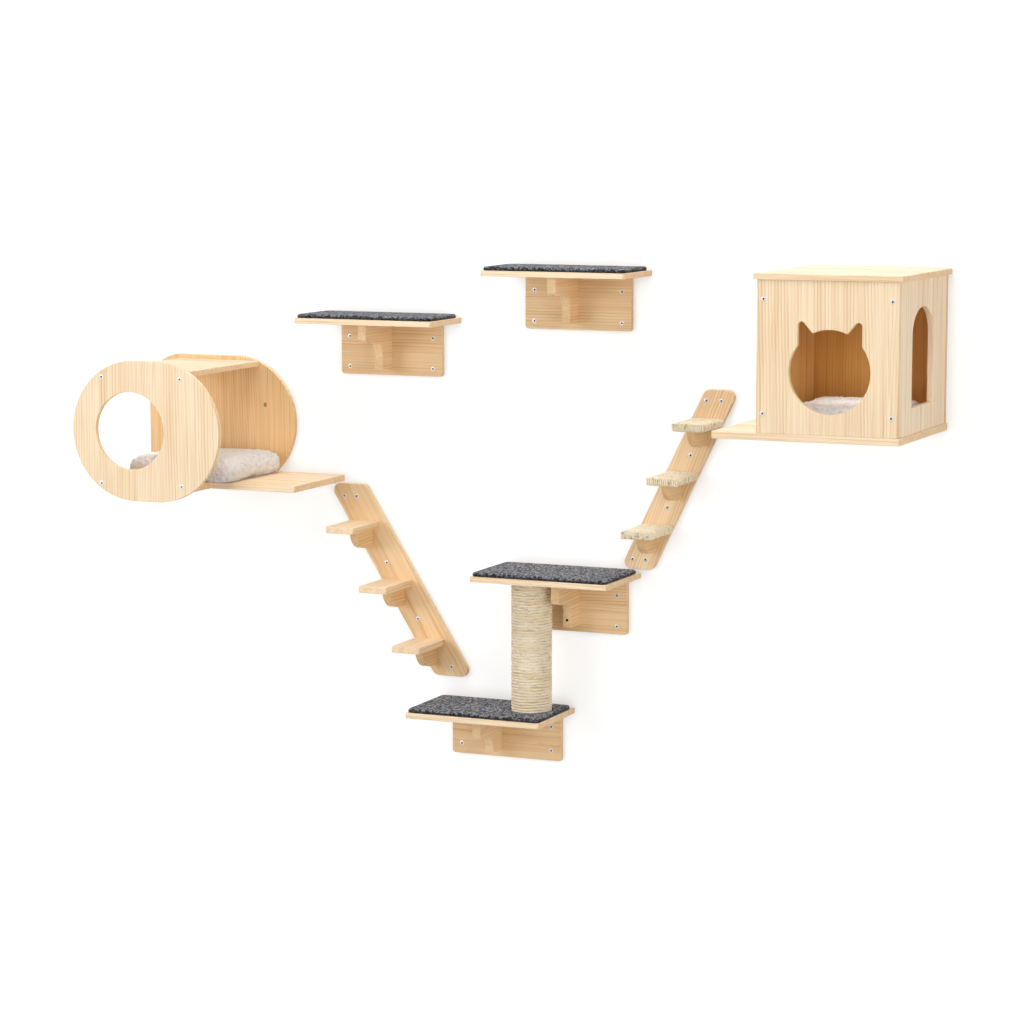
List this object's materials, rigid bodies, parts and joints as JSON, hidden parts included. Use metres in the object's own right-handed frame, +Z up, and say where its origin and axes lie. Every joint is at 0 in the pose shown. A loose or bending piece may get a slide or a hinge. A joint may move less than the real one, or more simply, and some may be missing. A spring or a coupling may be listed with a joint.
{
  "type": "cat climbing wall set",
  "caption": "Wall-mounted cat climbing set: tunnel house, carpeted shelves, sisal scratching post, slanting ladders and a house with a cat-head doorway.",
  "frame": {"origin": "centre of the four wall screws of the lower post shelf, on the wall plane", "axes": "+X to the right along the wall, +Y into the wall, +Z up; the pieces stand out from the wall towards -Y"},
  "size_m": [2.328, 0.434, 1.357],
  "materials": {
    "pine": "matt clear-lacquered pine board",
    "carpet": "heathered charcoal loop carpet",
    "plush": "off-white lambswool plush",
    "sisal": "natural twisted sisal rope"
  },
  "bodies": {
    "frame": {"house_back_panel": "pine", "house_base_board": "pine", "house_front_panel": "pine", "house_left_panel": "pine", "house_right_panel": "pine", "house_roof_board": "pine", "left_ladder_board": "pine", "left_ladder_corbels": "pine", "left_ladder_step_1": "pine", "left_ladder_step_2": "pine", "left_ladder_step_3": "pine", "left_shelf_board": "pine", "left_shelf_bracket": "pine", "left_shelf_pad": "carpet", "left_shelf_wall_plate": "pine", "middle_shelf_board": "pine", "middle_shelf_bracket": "pine", "middle_shelf_pad": "carpet", "middle_shelf_wall_plate": "pine", "post_core": "pine", "post_foot_shelf_board": "pine", "post_foot_shelf_bracket": "pine", "post_foot_shelf_pad": "carpet", "post_foot_shelf_wall_plate": "pine", "post_top_shelf_board": "pine", "post_top_shelf_bracket": "pine", "post_top_shelf_pad": "carpet", "post_top_shelf_wall_plate": "pine", "right_ladder_board": "pine", "right_ladder_corbels": "pine", "right_ladder_step_1": "pine", "right_ladder_step_2": "pine", "right_ladder_step_3": "pine", "sisal_windings": "sisal", "tunnel_floor_board": "pine", "tunnel_front_panel": "pine", "tunnel_top_board": "pine", "tunnel_wall_panel": "pine"},
    "tunnel_pillow": {"tunnel_cushion": "plush"},
    "house_pillow": {"house_cushion": "plush"}
  },
  "joints": [
    {"name": "tunnel_cushion_slide", "type": "slide", "parent": "frame", "child": "tunnel_pillow", "axis": [1, 0, 0], "range_m": [0, 0.16]},
    {"name": "house_cushion_lift", "type": "slide", "parent": "frame", "child": "house_pillow", "axis": [0, 0, 1], "range_m": [0, 0.1]}
  ]
}
